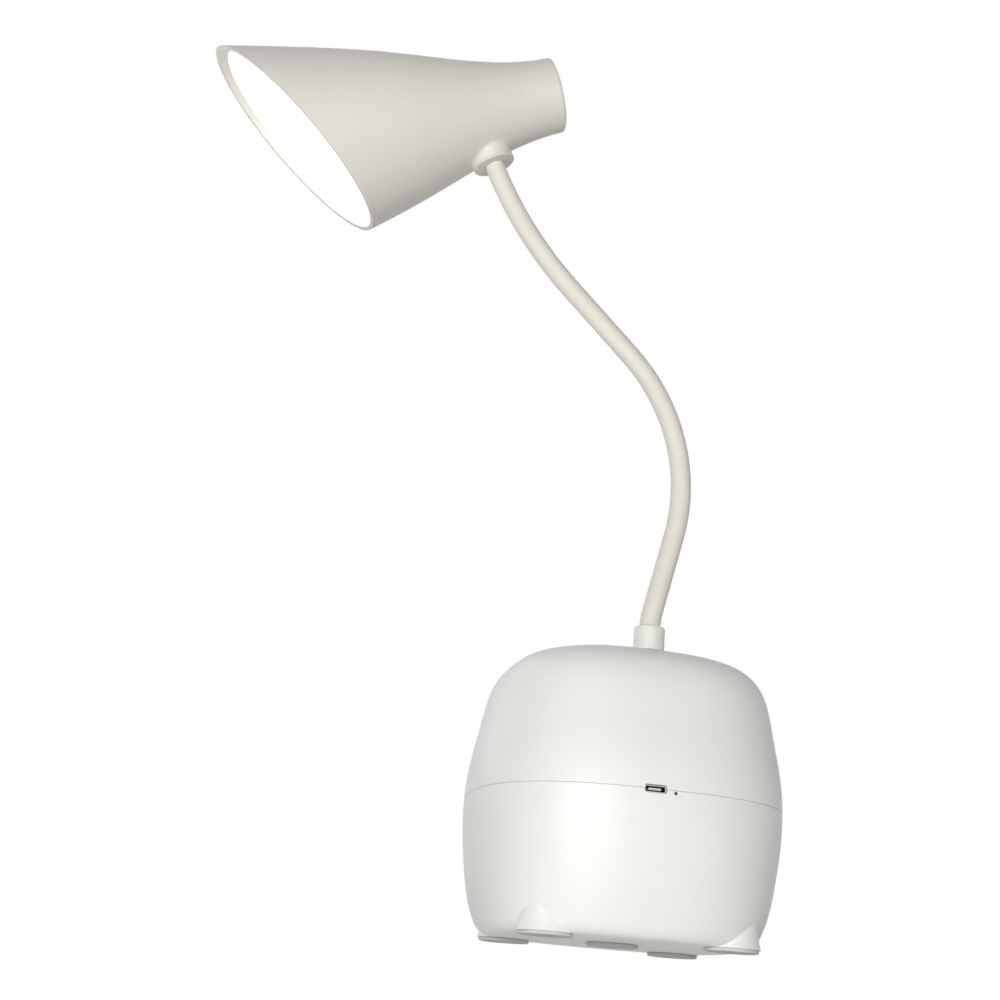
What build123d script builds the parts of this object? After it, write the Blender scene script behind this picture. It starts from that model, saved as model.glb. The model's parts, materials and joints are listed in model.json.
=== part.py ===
from build123d import *
import math
import os

os.makedirs("parts", exist_ok=True)

# A rechargeable desk lamp: a barrel-shaped base with a drawer in front and a phone slot
# across its top, a sleeved gooseneck and a horn-shaped head with an oblique mouth.
# Millimetres. Z is up from the table, the drawer faces -Y, the charging port faces +Y.

# ---- Driving dimensions ----

# Housing form: a superellipse in plan, a large arc in side view, a rounded crown
housing_height = 104.8
belly_half = 57.1
belly_height = 46.0
belly_radius = 130.0
corner_power = 2.6
outline_points = 32
crown_drop = 8.8
crown_half = 18.0
sole_round = 5.0
sole_inset = 4.5
wall = 2.4
seam_height = 49.0
seam_gap = 0.1
lip_height = 1.8

# Fits
slip = 0.1
clearance = 0.2
panel_gap = 0.5

# Pads and feet, one of each under every corner and a pad in the middle
pad_height = 1.2
pad_radius = 9.6
pad_inset = 23.6
foot_sole_radius = 10.2
foot_top_radius = 8.6
foot_height = 14.0
foot_flare = 0.25

# Drawer
drawer_front_width = 75.4
drawer_front_bottom = 9.4
drawer_front_height = 31.0
drawer_front_rim = 2.0
drawer_front_depth = 17.1
drawer_post_radius = 3.4
drawer_screw_spacing = 48.0
tray_width = 70.0
tray_depth = 64.0
tray_height = 29.0
tray_wall = 1.8
tray_floor_height = 9.9
tray_corner = 4.0
tray_lip = 2.4
tray_lip_thickness = 2.2
drawer_travel = 45.0
stop_tab_width = 16.0
stop_tab_height = 2.9
stop_rib_thickness = 2.0
knob_radius = 7.0
knob_neck_radius = 3.4
knob_length = 11.0
knob_neck_length = 5.0
knob_round = 2.2
knob_seat_depth = 0.9

# Drawer bay and runners
bay_half = 38.6
bay_wall = 2.0
bay_rear_gap = 2.0
runner_height = 7.0
runner_gap = 0.4

# Ballast plate on the floor
ballast_width = 68.0
ballast_depth = 52.0
ballast_thickness = 6.0
ballast_corner = 14.0
ballast_y = -2.0
peg_radius = 2.0
peg_spacing_x = 44.0
peg_spacing_y = 34.0

# Deck between the drawer and the electronics
deck_thickness = 2.0
deck_height = 42.6
deck_side_gap = 9.1
deck_overhang = 4.0

# Phone slot across the crown
slot_depth = 11.5
slot_front_y = 4.0
slot_floor_width = 7.0
slot_lean_y = 9.5
slot_wall = 2.2
slot_floor_round = 1.2

# Charging port and its board
port_x = 3.5
port_width = 8.0
port_height = 2.9
port_corner = 0.8
socket_width = 7.6
socket_height = 2.5
socket_depth = 5.6
socket_recess = 1.0
socket_shell = 0.3
socket_cavity = 4.6
socket_tongue_width = 4.0
socket_tongue_thickness = 0.6
board_width = 34.0
board_depth = 32.7
board_rear_gap = 2.0
board_thickness = 1.6
board_pillar_radius = 2.4
board_pillar_inset = 4.0
plug_width = 6.0
plug_depth = 4.0
plug_height = 3.0
light_x = -3.6
light_radius = 0.5
light_drop = 0.9

# Battery
cell_radius = 9.2
cell_length = 65.0
cell_round = 1.0
cell_y = -20.0
cradle_wall = 1.6
cradle_height = 11.0
cradle_notch_radius = 5.0

# Power button in the front of the upper housing
button_height = 72.0
button_radius = 7.0
button_proud = 0.8
button_travel = 1.0
button_flange = 1.4
button_flange_thickness = 1.0
button_seat_depth = 4.1
button_boss_radius = 12.0
button_boss_depth = 5.2
switch_board_thickness = 1.2
switch_size = 6.0
switch_body_height = 2.2
switch_plunger_radius = 1.6
switch_plunger_height = 0.6
switch_screw_ring = 10.2
switch_screw_radius = 0.8
switch_screw_head_radius = 1.5
switch_screw_head_height = 1.0
switch_screw_grip = 4.0
dome_wall = 0.6
dome_slope = 0.6

# Screws that hold the two housings, in posts over the rear feet
post_radius = 4.8
post_top = 18.0
screw_access_radius = 3.2
screw_access_height = 42.0
screw_radius = 1.5
screw_head_radius = 2.8
screw_head_height = 2.0
screw_grip = 12.0
small_screw_radius = 1.0
small_screw_head_radius = 2.0
small_screw_head_height = 1.3
small_screw_grip = 5.0
small_post_radius = 2.6
rib_thickness = 1.6

# Neck socket and gooseneck
neck_setback = 29.1
sleeve_radius = 3.85
core_radius = 2.5
core_bore = 1.2
collar_radius = 5.7
collar_height = 9.2
collar_round = 0.9
collar_ease = 0.8
collar_seat_drop = 1.6
collar_boss_depth = 8.5
boss_margin = 1.4
shank_radius = 4.0
nut_radius = 7.4
nut_thickness = 4.0
sleeve_seat_depth = 6.0
mouth_ease = 0.6
thread_fit = 0.05
lead_radius = 1.1
lead_run = 8.0
lead_sag = 2.0

# Neck path, from the collar up: turn, run, turn, run, turn
first_turn_radius = 30.0
first_turn = 12.9
first_run = 31.7
second_turn_radius = 75.0
second_turn = 59.4
second_run = 34.6
third_turn_radius = 157.0
third_turn = 21.7
neck_tail = 0.2

# Places along the neck, from the collar's mouth, where the gooseneck is hinged
flex_half = 8.0
core_gap = 2.4
hinge_stations = [22.0, 62.0, 105.0, 148.0, 190.0]

# Head: a horn on an axis that droops, turned a little, cut by a raked mouth;
# the middle of its rear end is placed from the middle of the ferrule
head_offset = (-21.9, 5.6, 33.6)
head_turn = 10.3
head_droop = 19.4
head_roll = 6.8
mouth_distance = 104.4
mouth_rake = 28.5
horn_length = 150.0
horn_outline = [(0.0, 14.9), (12.0, 15.7), (28.0, 19.0), (62.0, 29.5), (98.0, 38.9), (150.0, 49.9)]
horn_wall = 1.8

# Head fittings
rear_round = 1.2
cap_thickness = 1.8
cap_recess = 0.3
cap_plug_depth = 5.0
cap_plug_wall = 1.4
ferrule_radius = 8.4
ferrule_thickness = 1.2
ferrule_round = 0.55
boss_radius = 8.0
boss_height = 16.0
boss_flare = 1.2
boss_swell = 0.8
boss_blend = 1.6
ferrule_seat_depth = 0.6
shank_end = 1.0
diffuser_recess = 2.5
diffuser_thickness = 1.8
lamp_board_setback = 18.0
lamp_board_thickness = 1.6
lamp_board_inset = 3.0
spreader_thickness = 2.0
spreader_inset = 6.0
liner_wall = 1.0
liner_flange = 2.4
liner_window = 23.5
chip_size = 3.5
chip_height = 0.8
chip_ring = 18.0
chip_count = 12
lamp_screw_ring = 27.0
lamp_screw_count = 3
lamp_screw_angle = 90.0

# ---- Worked-out places ----

housing_bottom = pad_height
pad_reach = belly_half - pad_inset
neck_y = belly_half - neck_setback
drawer_front_back_y = drawer_front_depth - belly_half
housing_top = housing_bottom + housing_height
seam_z = housing_bottom + seam_height
crown_base = housing_height - crown_drop
floor_z = housing_bottom + wall
deck_z = housing_bottom + deck_height
tray_z = housing_bottom + tray_floor_height
drawer_front_z = housing_bottom + drawer_front_bottom
tray_half = tray_width / 2
tray_top_z = tray_z + tray_height
tray_rear_y = drawer_front_back_y + tray_depth
bay_rear_y = tray_rear_y + bay_rear_gap
deck_top_z = deck_z + deck_thickness
joint_z = seam_z + lip_height + clearance
slot_floor_z = housing_top - slot_depth
button_z = housing_bottom + button_height
board_z = seam_z - socket_height / 2 - board_thickness
board_top_z = board_z + board_thickness
collar_seat_z = housing_top - collar_seat_drop
collar_top_z = collar_seat_z + collar_height
collar_boss_z = collar_seat_z - collar_boss_depth
neck_foot_z = collar_boss_z - nut_thickness
corner_points = [(x, y) for x in (-pad_reach, pad_reach) for y in (-pad_reach, pad_reach)]
rear_points = [(-pad_reach, pad_reach), (pad_reach, pad_reach)]


# ---- Shared forms ----

def barrel_half(height, inset):
    """Half width of the housing form at a height over its underside, moved in by inset."""
    radius = belly_radius - inset
    belly = belly_half - belly_radius + math.sqrt(radius**2 - (height - belly_height) ** 2)
    if height > crown_base:
        rise = (height - crown_base) / (crown_drop - inset)
        return crown_half + (belly - crown_half) * math.sqrt(max(0.0, 1 - rise**2))
    if height < sole_round:
        dip = (sole_round - height) / (sole_round - inset)
        return belly - sole_inset * (1 - math.sqrt(max(0.0, 1 - dip**2)))
    return belly


def barrel_heights(inset):
    """Heights of the form's sections: close together at its rounded bottom and crown."""
    low, high = inset, housing_height - inset
    sole = [sole_round - (sole_round - low) * math.cos(math.radians(a)) for a in (0, 30, 60)]
    belly = [sole_round + (crown_base - sole_round) * k / 5 for k in range(6)]
    crown = [crown_base + (high - crown_base) * math.sin(math.radians(a)) for a in (25, 45, 62, 76, 90)]
    return sole + belly + crown


def squircle(half):
    """Points of a superellipse whose half width is the same along X and Y."""
    points = []
    for k in range(outline_points):
        turn = 2 * math.pi * k / outline_points
        across, along = math.cos(turn), math.sin(turn)
        x = math.copysign(abs(across) ** (2 / corner_power), across)
        y = math.copysign(abs(along) ** (2 / corner_power), along)
        points.append((half * x, half * y))
    return points


def barrel_form(inset):
    """The solid housing form, moved in by inset on every side."""
    with BuildPart() as form:
        for height in barrel_heights(inset):
            with BuildSketch(Plane.XY.offset(housing_bottom + height)):
                with BuildLine():
                    Spline(*squircle(barrel_half(height, inset)), periodic=True)
                make_face()
        loft()
    return form.part


outer_form = barrel_form(0)
inner_form = barrel_form(wall)
mid_form = barrel_form(wall / 2)
tongue_form = barrel_form(wall / 2 + slip)
deck_form = barrel_form(wall + clearance)

# ---- Lower housing: shell, feet, drawer bay, screw posts ----

# The bay's side walls and rear wall, and the posts that carry the deck, kept inside the shell
side_post_x = bay_half + bay_wall + small_post_radius / 2
rear_post_y = bay_rear_y + bay_wall + small_post_radius / 2
deck_posts = [
    (-side_post_x, -side_post_x / 2),
    (side_post_x, -side_post_x / 2),
    (-bay_half / 2, rear_post_y),
    (bay_half / 2, rear_post_y),
]
with BuildPart() as bay_walls:
    with BuildSketch(Plane.XY.offset(floor_z)):
        with Locations((-bay_half - bay_wall / 2, 0), (bay_half + bay_wall / 2, 0)):
            Rectangle(bay_wall, 2 * (bay_rear_y + bay_wall))
        with Locations((0, bay_rear_y + bay_wall / 2)):
            Rectangle(2 * bay_half, bay_wall)
        with Locations(*deck_posts):
            Circle(small_post_radius)
    extrude(amount=deck_z - floor_z)
    with BuildSketch(Plane.XY.offset(deck_z)):
        with Locations(*deck_posts):
            Circle(small_screw_radius)
    extrude(amount=-small_screw_grip - clearance, mode=Mode.SUBTRACT)
    add(mid_form, mode=Mode.INTERSECT)

# A tongue round the top edge that locates the upper housing
with BuildPart() as tongue:
    add(tongue_form)
    add(inner_form, mode=Mode.SUBTRACT)
    split(bisect_by=Plane.XY.offset(seam_z), keep=Keep.TOP)
    split(bisect_by=Plane.XY.offset(seam_z + lip_height), keep=Keep.BOTTOM)

with BuildPart() as lower_housing:
    add(outer_form)
    split(bisect_by=Plane.XY.offset(seam_z), keep=Keep.BOTTOM)
    for foot_x, foot_y in corner_points:
        foot_middle = foot_top_radius + foot_flare * (foot_sole_radius - foot_top_radius)
        with BuildSketch(Plane(origin=(foot_x, foot_y, housing_bottom), x_dir=(1, 0, 0), z_dir=(0, -1, 0))):
            with BuildLine():
                ThreePointArc(
                    (foot_sole_radius, 0),
                    (foot_middle, foot_height / 2),
                    (foot_top_radius, foot_height),
                )
                Polyline((foot_top_radius, foot_height), (0, foot_height), (0, 0), (foot_sole_radius, 0))
            make_face()
        revolve(axis=Axis((foot_x, foot_y, 0), (0, 0, 1)))
    add(inner_form, mode=Mode.SUBTRACT)
    add(bay_walls.part)
    add(tongue.part)
    # screw posts over the rear feet, hollow from below
    with BuildSketch(Plane.XY.offset(floor_z)):
        with Locations(*rear_points):
            Circle(post_radius)
    extrude(amount=joint_z - floor_z)
    with BuildSketch(Plane.XY.offset(housing_bottom)):
        with Locations(*rear_points):
            Circle(screw_access_radius)
    extrude(amount=screw_access_height, mode=Mode.SUBTRACT)
    with BuildSketch(Plane.XY.offset(housing_bottom)):
        with Locations(*rear_points):
            Circle(screw_radius + slip)
    extrude(amount=joint_z - housing_bottom, mode=Mode.SUBTRACT)
    # pegs that hold the ballast plate
    with BuildSketch(Plane.XY.offset(floor_z)):
        with Locations((0, ballast_y)):
            with GridLocations(peg_spacing_x, peg_spacing_y, 2, 2):
                Circle(peg_radius)
    extrude(amount=ballast_thickness)
    # drawer opening in front
    with BuildSketch(Plane.XY.offset(drawer_front_z - panel_gap)):
        with Locations((0, drawer_front_back_y - belly_half)):
            Rectangle(drawer_front_width + 2 * panel_gap, 2 * belly_half)
    extrude(amount=drawer_front_height + 2 * panel_gap, mode=Mode.SUBTRACT)
    # charging port and charge-light holes in the rear wall
    with BuildSketch(Plane.XZ.offset(2 * wall - belly_half)):
        with Locations((port_x, seam_z)):
            RectangleRounded(port_width, port_height, port_corner)
        with Locations((light_x, seam_z - light_drop)):
            Circle(light_radius + slip)
    extrude(amount=-3 * wall, mode=Mode.SUBTRACT)
lower_housing.part.label = "lower_housing"
export_step(lower_housing.part, "parts/lower_housing.step")

# ---- Rubber pads under the feet and the middle, and the ballast plate ----

with BuildPart() as rubber_pads:
    with BuildSketch():
        with Locations((0, 0), *corner_points):
            Circle(pad_radius)
    extrude(amount=pad_height)
rubber_pads.part.label = "rubber_pads"
export_step(rubber_pads.part, "parts/rubber_pads.step")

with BuildPart() as ballast_plate:
    with BuildSketch(Plane.XY.offset(floor_z)):
        with Locations((0, ballast_y)):
            RectangleRounded(ballast_width, ballast_depth, ballast_corner)
            with GridLocations(peg_spacing_x, peg_spacing_y, 2, 2):
                Circle(peg_radius + slip, mode=Mode.SUBTRACT)
    extrude(amount=ballast_thickness)
ballast_plate.part.label = "ballast_plate"
export_step(ballast_plate.part, "parts/ballast_plate.step")

# ---- Deck over the drawer, with a stop rib below and board pillars above ----

deck_front_y = drawer_front_back_y - deck_overhang
stop_rib_y = tray_rear_y - tray_wall - drawer_travel - clearance - stop_rib_thickness / 2
board_rear_y = barrel_half(seam_height, wall) - board_rear_gap
board_front_y = board_rear_y - board_depth
board_y = board_front_y + board_depth / 2
pillar_spacing_x = board_width - 2 * board_pillar_inset
pillar_spacing_y = board_depth - 2 * board_pillar_inset

with BuildPart() as inner_deck:
    with BuildSketch(Plane.XY.offset(deck_z)):
        with Locations((0, (deck_front_y + board_rear_y) / 2)):
            Rectangle(2 * (belly_half - deck_side_gap), board_rear_y - deck_front_y)
    extrude(amount=deck_thickness)
    add(deck_form, mode=Mode.INTERSECT)
    with BuildSketch(Plane.XY.offset(deck_z)):
        with Locations((0, stop_rib_y)):
            Rectangle(stop_tab_width + 2 * stop_rib_thickness, stop_rib_thickness)
    extrude(amount=tray_top_z + panel_gap - deck_z)
    with BuildSketch(Plane.XY.offset(deck_top_z)):
        with Locations((0, board_y)):
            with GridLocations(pillar_spacing_x, pillar_spacing_y, 2, 2):
                Circle(board_pillar_radius)
    extrude(amount=board_z - deck_top_z)
    with BuildSketch(Plane.XY.offset(deck_z)):
        with Locations(*rear_points):
            Circle(post_radius + clearance)
        with Locations(*deck_posts):
            Circle(small_screw_radius + slip)
    extrude(amount=deck_thickness, mode=Mode.SUBTRACT)
    with BuildSketch(Plane.XY.offset(board_z)):
        with Locations((0, board_y)):
            with GridLocations(pillar_spacing_x, pillar_spacing_y, 2, 2):
                Circle(small_screw_radius + slip)
    extrude(amount=deck_z - board_z, mode=Mode.SUBTRACT)
inner_deck.part.label = "inner_deck"
export_step(inner_deck.part, "parts/inner_deck.step")


def screw_group(plane, places, radius, head_radius, head_height, grip):
    """Pan-head screws on a plane: heads stand along its normal, shanks go the other way."""
    with BuildPart() as group:
        with BuildSketch(plane):
            with Locations(*places):
                Circle(head_radius)
        extrude(amount=head_height)
        with BuildSketch(plane):
            with Locations(*places):
                Circle(radius)
        extrude(amount=-grip)
    return group.part


def small_screws(plane, places, grip):
    """A group of the small screws, with a grip length of its own."""
    return screw_group(
        plane, places, small_screw_radius, small_screw_head_radius, small_screw_head_height, grip
    )


with BuildPart() as deck_screws:
    add(small_screws(Plane.XY.offset(deck_top_z), deck_posts, deck_thickness + small_screw_grip))
deck_screws.part.label = "deck_screws"
export_step(deck_screws.part, "parts/deck_screws.step")

with BuildPart() as housing_screws:
    screw_head_z = housing_bottom + screw_access_height
    head_plane = Plane(origin=(0, 0, screw_head_z), x_dir=(1, 0, 0), z_dir=(0, 0, -1))
    grip = joint_z - screw_head_z + screw_grip
    mirrored_points = [(x, -y) for x, y in rear_points]
    add(screw_group(head_plane, mirrored_points, screw_radius, screw_head_radius, screw_head_height, grip))
housing_screws.part.label = "housing_screws"
export_step(housing_screws.part, "parts/housing_screws.step")

# ---- Drawer: tray, curved front, knob, runners ----

tray_y = drawer_front_back_y + tray_depth / 2
front_mid_z = drawer_front_z + drawer_front_height / 2
lip_z = tray_top_z - tray_lip_thickness / 2
back_plane = Plane.XZ.offset(-drawer_front_back_y)
drawer_screws = [(-drawer_screw_spacing / 2, front_mid_z), (drawer_screw_spacing / 2, front_mid_z)]

with BuildPart() as drawer_tray:
    with BuildSketch(Plane.XY.offset(tray_z)):
        with Locations((0, tray_y)):
            Rectangle(tray_width, tray_depth)
    extrude(amount=tray_height)
    with BuildSketch(Plane.XY.offset(tray_top_z)):
        with Locations((0, tray_y)):
            Rectangle(tray_width + 2 * tray_lip, tray_depth)
    extrude(amount=-tray_lip_thickness)
    with BuildSketch(Plane.XY.offset(tray_z + tray_wall)):
        with Locations((0, tray_y)):
            RectangleRounded(tray_width - 2 * tray_wall, tray_depth - 2 * tray_wall, tray_corner)
    extrude(amount=tray_height, mode=Mode.SUBTRACT)
    with BuildSketch(Plane.XY.offset(tray_top_z)):
        with Locations((0, tray_rear_y - tray_wall / 2)):
            Rectangle(stop_tab_width, tray_wall)
    extrude(amount=stop_tab_height)
    with BuildSketch(back_plane):
        with Locations(*drawer_screws):
            Circle(small_screw_radius + slip)
        with Locations((0, front_mid_z)):
            Circle(screw_radius + slip)
    extrude(amount=-tray_wall, mode=Mode.SUBTRACT)
drawer_tray.part.label = "drawer_tray"
export_step(drawer_tray.part, "parts/drawer_tray.step")

knob_surface_y = -barrel_half(front_mid_z - housing_bottom, 0)
knob_seat_y = knob_surface_y + knob_seat_depth

with BuildPart() as front_hollow:
    with BuildSketch(back_plane):
        with Locations((0, front_mid_z)):
            Rectangle(drawer_front_width - 2 * drawer_front_rim, drawer_front_height - 2 * drawer_front_rim)
    extrude(amount=belly_half)
    add(inner_form, mode=Mode.INTERSECT)
    with BuildSketch(back_plane):
        with Locations((0, front_mid_z), *drawer_screws):
            Circle(drawer_post_radius)
    extrude(amount=belly_half, mode=Mode.SUBTRACT)

with BuildPart() as drawer_front:
    with BuildSketch(back_plane):
        with Locations((0, front_mid_z)):
            Rectangle(drawer_front_width, drawer_front_height)
    extrude(amount=belly_half)
    add(outer_form, mode=Mode.INTERSECT)
    add(front_hollow.part, mode=Mode.SUBTRACT)
    with BuildSketch(Plane.XZ.offset(-knob_seat_y)):
        with Locations((0, front_mid_z)):
            Circle(knob_neck_radius + slip)
    extrude(amount=belly_half, mode=Mode.SUBTRACT)
    with BuildSketch(back_plane):
        with Locations((0, front_mid_z)):
            Circle(screw_radius + slip)
    extrude(amount=belly_half, mode=Mode.SUBTRACT)
    with BuildSketch(back_plane):
        with Locations(*drawer_screws):
            Circle(small_screw_radius)
    extrude(amount=small_screw_grip + clearance, mode=Mode.SUBTRACT)
drawer_front.part.label = "drawer_front"
export_step(drawer_front.part, "parts/drawer_front.step")

knob_plane = Plane(origin=(0, knob_seat_y, front_mid_z), x_dir=(0, -1, 0), z_dir=(-1, 0, 0))
with BuildPart() as drawer_knob:
    with BuildSketch(knob_plane):
        with BuildLine():
            neck_line = Line((0, 0), (0, knob_neck_radius))
            waist = ThreePointArc(
                neck_line @ 1,
                (knob_neck_length / 2, knob_neck_radius - knob_round / 4),
                (knob_neck_length, knob_neck_radius + knob_round / 2),
            )
            under = Line(waist @ 1, (knob_neck_length + knob_round / 2, knob_radius - knob_round))
            side_line = Polyline(
                under @ 1,
                (knob_neck_length + knob_round / 2, knob_radius),
                (knob_length - knob_round, knob_radius),
                (knob_length, knob_radius - knob_round),
            )
            Polyline(side_line @ 1, (knob_length, 0), (0, 0))
        make_face()
    revolve(axis=Axis((0, knob_seat_y, front_mid_z), (0, -1, 0)))
    rim_edges = drawer_knob.edges().filter_by(GeomType.CIRCLE).group_by(SortBy.RADIUS)[-1]
    fillet(rim_edges, radius=knob_round / 3)
    with BuildSketch(Plane.XZ.offset(-knob_seat_y)):
        with Locations((0, front_mid_z)):
            Circle(screw_radius)
    extrude(amount=knob_neck_length + clearance, mode=Mode.SUBTRACT)
drawer_knob.part.label = "drawer_knob"
export_step(drawer_knob.part, "parts/drawer_knob.step")

inside_plane = Plane(
    origin=(0, drawer_front_back_y + tray_wall, 0), x_dir=(-1, 0, 0), z_dir=(0, 1, 0)
)
with BuildPart() as drawer_front_screws:
    add(small_screws(inside_plane, drawer_screws, tray_wall + small_screw_grip))
drawer_front_screws.part.label = "drawer_front_screws"
export_step(drawer_front_screws.part, "parts/drawer_front_screws.step")

with BuildPart() as knob_screw:
    knob_grip = drawer_front_back_y + tray_wall - knob_seat_y + knob_neck_length
    add(
        screw_group(
            inside_plane, [(0, front_mid_z)], screw_radius, screw_head_radius, screw_head_height, knob_grip
        )
    )
knob_screw.part.label = "knob_screw"
export_step(knob_screw.part, "parts/knob_screw.step")

with BuildPart() as drawer_runners:
    runner_width = bay_half - tray_half - runner_gap
    with BuildSketch(Plane.XZ.offset(-bay_rear_y + bay_rear_gap)):
        with Locations((bay_half - runner_width / 2, lip_z)):
            Rectangle(runner_width, runner_height)
        with Locations((tray_half + runner_gap, lip_z)):
            Rectangle(
                2 * (tray_lip - runner_gap + clearance), tray_lip_thickness + 2 * slip, mode=Mode.SUBTRACT
            )
    extrude(amount=tray_depth)
    mirror(about=Plane.YZ)
drawer_runners.part.label = "drawer_runners"
export_step(drawer_runners.part, "parts/drawer_runners.step")

# ---- Upper housing: shell, phone slot, button boss, neck boss, screw bosses ----

button_seat_y = barrel_half(button_height, 0) - button_seat_depth
slot_points = [
    (slot_front_y, housing_top + wall),
    (slot_front_y, slot_floor_z),
    (slot_front_y + slot_floor_width, slot_floor_z),
    (slot_front_y + slot_floor_width + slot_lean_y, housing_top),
    (slot_front_y + slot_floor_width + slot_lean_y * (1 + wall / slot_depth), housing_top + wall),
]
with BuildSketch(Plane.YZ) as slot_section:
    with BuildLine():
        Polyline(*slot_points, close=True)
    make_face()
    fillet(slot_section.vertices().group_by(Axis.Z)[0], radius=slot_floor_round)

with BuildPart() as inner_bosses:
    # walls of the phone slot
    with BuildSketch(Plane.YZ):
        add(slot_section.sketch_local)
        offset(amount=slot_wall)
    extrude(amount=belly_half, both=True)
    # boss under the neck collar
    with BuildSketch(Plane.XY.offset(collar_boss_z)):
        with Locations((0, neck_y)):
            Circle(nut_radius + boss_margin)
    extrude(amount=housing_top - collar_boss_z)
    # boss round the power button
    with BuildSketch(Plane.XZ.offset(button_seat_y - button_boss_depth)):
        with Locations((0, button_z)):
            Circle(button_boss_radius)
    extrude(amount=belly_half)
    # bosses for the housing screws, each with a rib out to the corner of the shell
    with BuildSketch(Plane.XY.offset(joint_z)):
        with Locations(*rear_points):
            Circle(post_radius)
        for boss_x, boss_y in rear_points:
            rib_angle = math.degrees(math.atan2(boss_y, boss_x))
            with Locations(Location((boss_x, boss_y, 0), (0, 0, rib_angle))):
                Rectangle(belly_half, rib_thickness, align=(Align.MIN, Align.CENTER))
    extrude(amount=post_top)
    add(mid_form, mode=Mode.INTERSECT)

# The lower band of the shell is cut back for the tongue
with BuildPart() as rebate:
    add(mid_form)
    split(bisect_by=Plane.XY.offset(joint_z), keep=Keep.BOTTOM)

with BuildPart() as upper_housing:
    add(outer_form)
    split(bisect_by=Plane.XY.offset(seam_z + seam_gap), keep=Keep.TOP)
    add(inner_form, mode=Mode.SUBTRACT)
    add(rebate.part, mode=Mode.SUBTRACT)
    add(inner_bosses.part)
    with BuildSketch(Plane.YZ):
        add(slot_section.sketch_local)
    extrude(amount=belly_half, both=True, mode=Mode.SUBTRACT)
    # seat and hole for the neck collar
    with BuildSketch(Plane.XY.offset(collar_seat_z)):
        with Locations((0, neck_y)):
            Circle(collar_radius + slip)
    extrude(amount=housing_height, mode=Mode.SUBTRACT)
    with BuildSketch(Plane.XY.offset(collar_boss_z)):
        with Locations((0, neck_y)):
            Circle(shank_radius + thread_fit)
    extrude(amount=housing_height, mode=Mode.SUBTRACT)
    # bore and flange seat for the power button
    with BuildSketch(Plane.XZ.offset(button_seat_y)):
        with Locations((0, button_z)):
            Circle(button_radius + clearance)
    extrude(amount=belly_half, mode=Mode.SUBTRACT)
    with BuildSketch(Plane.XZ.offset(button_seat_y)):
        with Locations((0, button_z)):
            Circle(button_radius + button_flange + clearance)
    extrude(amount=-button_boss_depth, mode=Mode.SUBTRACT)
    with BuildSketch(Plane.XZ.offset(button_seat_y - button_boss_depth)):
        with Locations((0, button_z)):
            with PolarLocations(switch_screw_ring, 2):
                Circle(switch_screw_radius)
    extrude(amount=switch_screw_grip + clearance, mode=Mode.SUBTRACT)
    # pilot holes for the housing screws
    with BuildSketch(Plane.XY.offset(joint_z)):
        with Locations(*rear_points):
            Circle(screw_radius)
    extrude(amount=screw_grip + clearance, mode=Mode.SUBTRACT)
    # charging port
    with BuildSketch(Plane.XZ.offset(2 * wall - belly_half)):
        with Locations((port_x, seam_z)):
            RectangleRounded(port_width, port_height, port_corner)
    extrude(amount=-3 * wall, mode=Mode.SUBTRACT)
upper_housing.part.label = "upper_housing"
export_step(upper_housing.part, "parts/upper_housing.step")

# ---- Power button, its silicone return dome and its switch ----

boss_face_y = button_boss_depth - button_seat_y
button_face_y = -barrel_half(button_z - housing_bottom, 0) - button_proud
flange_back_y = slip + button_flange_thickness - button_seat_y
plunger_y = boss_face_y - switch_body_height - switch_plunger_height

with BuildPart() as power_button:
    with BuildSketch(Plane.XZ.offset(-flange_back_y)):
        with Locations((0, button_z)):
            Circle(button_radius + button_flange)
    extrude(amount=button_flange_thickness)
    with BuildSketch(Plane.XZ.offset(-flange_back_y)):
        with Locations((0, button_z)):
            Circle(button_radius)
    extrude(amount=flange_back_y - button_face_y)
    fillet(power_button.edges().group_by(Axis.Y)[0], radius=button_proud)
    with BuildSketch(Plane.XZ.offset(-flange_back_y)):
        with Locations((0, button_z)):
            Circle(switch_plunger_radius)
    extrude(amount=flange_back_y - plunger_y + button_travel + thread_fit)
power_button.part.label = "power_button"
export_step(power_button.part, "parts/power_button.step")

with BuildPart() as switch_board:
    with BuildSketch(Plane.XZ.offset(-boss_face_y)):
        with Locations((0, button_z)):
            Circle(button_boss_radius)
            with PolarLocations(switch_screw_ring, 2):
                Circle(switch_screw_radius + slip, mode=Mode.SUBTRACT)
    extrude(amount=-switch_board_thickness)
switch_board.part.label = "switch_board"
export_step(switch_board.part, "parts/switch_board.step")

with BuildPart() as switch_screws:
    switch_back = Plane(
        origin=(0, boss_face_y + switch_board_thickness, button_z), x_dir=(-1, 0, 0), z_dir=(0, 1, 0)
    )
    places = [(-switch_screw_ring, 0), (switch_screw_ring, 0)]
    switch_grip = switch_board_thickness + switch_screw_grip
    add(
        screw_group(
            switch_back, places, switch_screw_radius, switch_screw_head_radius,
            switch_screw_head_height, switch_grip
        )
    )
switch_screws.part.label = "switch_screws"
export_step(switch_screws.part, "parts/switch_screws.step")

with BuildPart() as tact_switch:
    with BuildSketch(Plane.XZ.offset(-boss_face_y)):
        with Locations((0, button_z)):
            Rectangle(switch_size, switch_size)
    extrude(amount=switch_body_height)
    with BuildSketch(Plane.XZ.offset(-boss_face_y)):
        with Locations((0, button_z)):
            Circle(switch_plunger_radius)
    extrude(amount=switch_body_height + switch_plunger_height)
tact_switch.part.label = "tact_switch"
export_step(tact_switch.part, "parts/tact_switch.step")

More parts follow.
